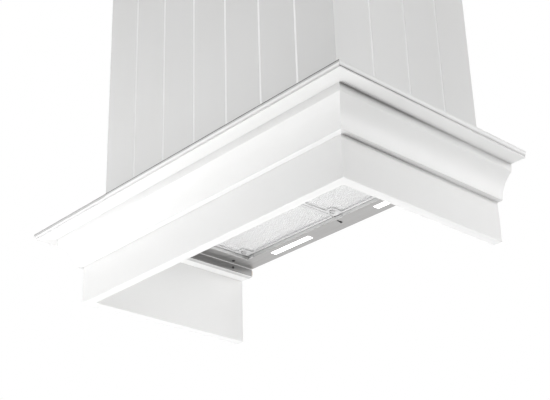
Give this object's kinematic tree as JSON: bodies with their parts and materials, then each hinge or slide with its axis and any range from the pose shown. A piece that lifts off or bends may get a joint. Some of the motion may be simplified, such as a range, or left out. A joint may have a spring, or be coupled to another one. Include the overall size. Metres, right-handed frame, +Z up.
{
  "type": "wall-mount range hood",
  "caption": "Wall-mount range hood: planked timber chimney over a cove crown and apron, with a steel insert of tilting grease filters, light bars, blower and damper collar.",
  "frame": {"origin": "centre of the four wall screws, on the wall plane", "axes": "+X to the right seen from the front, +Y into the wall, +Z up"},
  "size_m": [1.102, 0.608, 0.914],
  "materials": {
    "white_paint": "satin white lacquer on wood",
    "frame_wood": "raw planed softwood",
    "liner_steel": "brushed",
    "filter_frame": "brushed",
    "filter_mesh": "layered expanded mesh",
    "latch_metal": "polished",
    "spring_steel": "plain spring steel",
    "lens": "frosted",
    "lamp_aluminium": "as cast",
    "black_plastic": "fine grain",
    "slider_plastic": "satin",
    "galvanised": "galvanised spangle",
    "wiring_box": "grey powder coat",
    "impeller": "dark dip coat",
    "shaft_steel": "ground",
    "motor_paint": "semi-gloss black",
    "flap_aluminium": "mill finish",
    "screw_steel": "bright",
    "screw_zinc": "zinc plated"
  },
  "bodies": {
    "casing": {"apron_front": "white_paint", "apron_left": "white_paint", "apron_right": "white_paint", "crown_front": "white_paint", "crown_left": "white_paint", "crown_right": "white_paint", "cap_front": "white_paint", "cap_left": "white_paint", "cap_right": "white_paint", "insert_shelf": "white_paint", "front_board_1": "white_paint", "front_board_2": "white_paint", "front_board_3": "white_paint", "front_board_4": "white_paint", "front_board_5": "white_paint", "front_board_6": "white_paint", "front_board_7": "white_paint", "left_board_1": "white_paint", "left_board_2": "white_paint", "left_board_3": "white_paint", "left_board_4": "white_paint", "right_board_1": "white_paint", "right_board_2": "white_paint", "right_board_3": "white_paint", "right_board_4": "white_paint", "corner_post_left": "frame_wood", "corner_post_right": "frame_wood", "top_rail_front": "frame_wood", "top_rail_left": "frame_wood", "top_rail_right": "frame_wood", "wall_rail_upper": "frame_wood", "wall_rail_lower": "frame_wood", "liner": "liner_steel", "latch_keeper_left": "spring_steel", "light_lens_left": "lens", "lamp_tray_left": "lamp_aluminium", "latch_keeper_right": "spring_steel", "light_lens_right": "lens", "lamp_tray_right": "lamp_aluminium", "switch_body": "black_plastic", "plenum_box": "galvanised", "blower_scroll": "galvanised", "discharge_box": "galvanised", "duct_collar": "galvanised", "wiring_box": "wiring_box", "damper_spindle": "shaft_steel", "motor": "motor_paint", "liner_screws": "screw_steel", "blower_screws": "screw_zinc"},
    "filter_left": {"filter_frame_left": "filter_frame", "filter_mesh_left": "filter_mesh"},
    "filter_right": {"filter_frame_right": "filter_frame", "filter_mesh_right": "filter_mesh"},
    "latch_left": {"filter_latch_left": "latch_metal"},
    "latch_right": {"filter_latch_right": "latch_metal"},
    "blower_wheel": {"impeller": "impeller", "motor_shaft": "shaft_steel"},
    "damper_front": {"damper_flap_front": "flap_aluminium"},
    "damper_rear": {"damper_flap_rear": "flap_aluminium"},
    "speed_control": {"speed_slider": "slider_plastic"}
  },
  "joints": [
    {"name": "filter_left_tilt", "type": "hinge", "parent": "casing", "child": "filter_left", "pos_m": [-0.16975, -0.285, -0.3666], "axis": [-1, 0, 0], "range_deg": [0, 85], "deforming": ["latch_keeper_left"]},
    {"name": "latch_left_slide", "type": "slide", "parent": "filter_left", "child": "latch_left", "axis": [0, -1, 0], "range_m": [0, 0.006], "stiffness_N_per_m": 300, "springref_m": -0.004},
    {"name": "filter_right_tilt", "type": "hinge", "parent": "casing", "child": "filter_right", "pos_m": [0.16975, -0.285, -0.3666], "axis": [-1, 0, 0], "range_deg": [0, 85], "deforming": ["latch_keeper_right"]},
    {"name": "latch_right_slide", "type": "slide", "parent": "filter_right", "child": "latch_right", "axis": [0, -1, 0], "range_m": [0, 0.006], "stiffness_N_per_m": 300, "springref_m": -0.004},
    {"name": "blower_spin", "type": "hinge", "parent": "casing", "child": "blower_wheel", "pos_m": [-0.21, -0.15, -0.235], "axis": [0, 0, 1], "continuous": true},
    {"name": "damper_front_swing", "type": "hinge", "parent": "casing", "child": "damper_front", "pos_m": [0, -0.215, -0.187], "axis": [-1, 0, 0], "range_deg": [0, 80]},
    {"name": "damper_rear_swing", "type": "hinge", "parent": "casing", "child": "damper_rear", "pos_m": [0, -0.215, -0.187], "axis": [1, 0, 0], "range_deg": [0, 80]},
    {"name": "speed_slide", "type": "slide", "parent": "casing", "child": "speed_control", "axis": [0, -1, 0], "range_m": [0, 0.01]}
  ]
}
